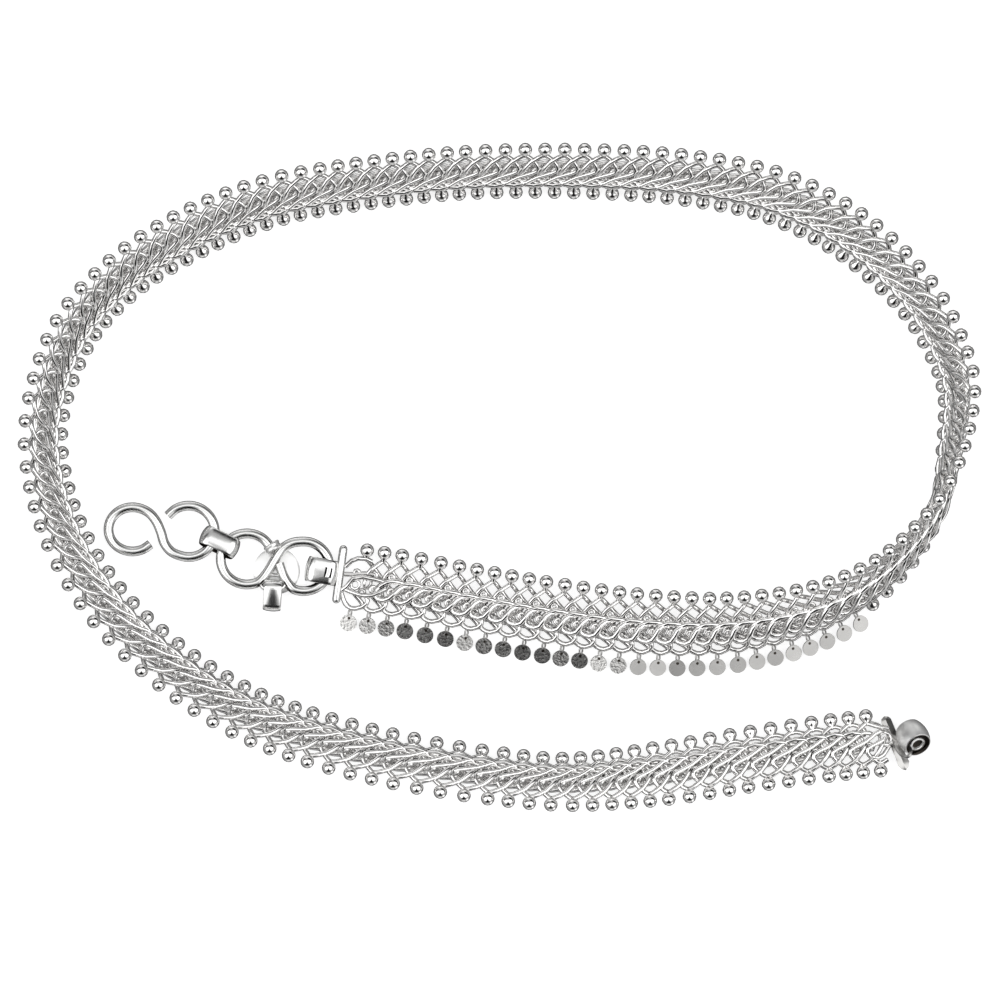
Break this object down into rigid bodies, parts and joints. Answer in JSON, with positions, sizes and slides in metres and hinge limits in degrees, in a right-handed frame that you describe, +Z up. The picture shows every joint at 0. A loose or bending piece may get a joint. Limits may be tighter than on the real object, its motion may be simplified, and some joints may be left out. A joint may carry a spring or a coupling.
{
  "type": "waist belt",
  "caption": "Flexible woven wire waist belt lying open, with balls along its edges, small discs on its front and an S-hook clasp.",
  "frame": {"origin": "middle of the belt's bounding box in plan, on the surface the belt lies on", "axes": "+Z up out of the surface, +X towards the end with the wide ring, +Y towards the far side of the waist loop"},
  "size_m": [0.2622, 0.1822, 0.0224],
  "materials": {
    "band_silver": "polished silver wire, slightly worn",
    "clasp_silver": "polished silver, slightly worn",
    "disc_silver": "satin silver, lightly hammered"
  },
  "bodies": {
    "root": {"hook_open": "clasp_silver", "link_ring": "clasp_silver", "hook_closed": "clasp_silver", "hook_tag": "clasp_silver", "spare_ring": "clasp_silver", "front_end_bar": "clasp_silver", "band_01": "band_silver", "band_02": "band_silver", "band_03": "band_silver", "band_04": "band_silver", "band_05": "band_silver", "band_06": "band_silver", "band_07": "band_silver", "band_08": "band_silver", "band_09": "band_silver", "band_10": "band_silver", "band_11": "band_silver", "band_12": "band_silver", "band_13": "band_silver", "band_14": "band_silver", "band_15": "band_silver", "band_16": "band_silver", "band_17": "band_silver", "band_18": "band_silver", "band_19": "band_silver", "disc_01": "disc_silver", "disc_02": "disc_silver", "disc_03": "disc_silver", "disc_04": "disc_silver", "disc_05": "disc_silver", "disc_06": "disc_silver", "disc_07": "disc_silver", "disc_08": "disc_silver", "disc_09": "disc_silver", "disc_10": "disc_silver", "disc_11": "disc_silver", "disc_12": "disc_silver", "disc_13": "disc_silver", "disc_14": "disc_silver", "disc_15": "disc_silver", "disc_16": "disc_silver", "disc_17": "disc_silver", "disc_18": "disc_silver", "disc_19": "disc_silver", "disc_20": "disc_silver", "disc_21": "disc_silver", "disc_22": "disc_silver", "disc_23": "disc_silver", "disc_24": "disc_silver", "disc_25": "disc_silver", "disc_26": "disc_silver", "disc_27": "disc_silver", "disc_28": "disc_silver", "tail_end_bar": "clasp_silver", "tail_ring": "clasp_silver"}
  },
  "joints": []
}
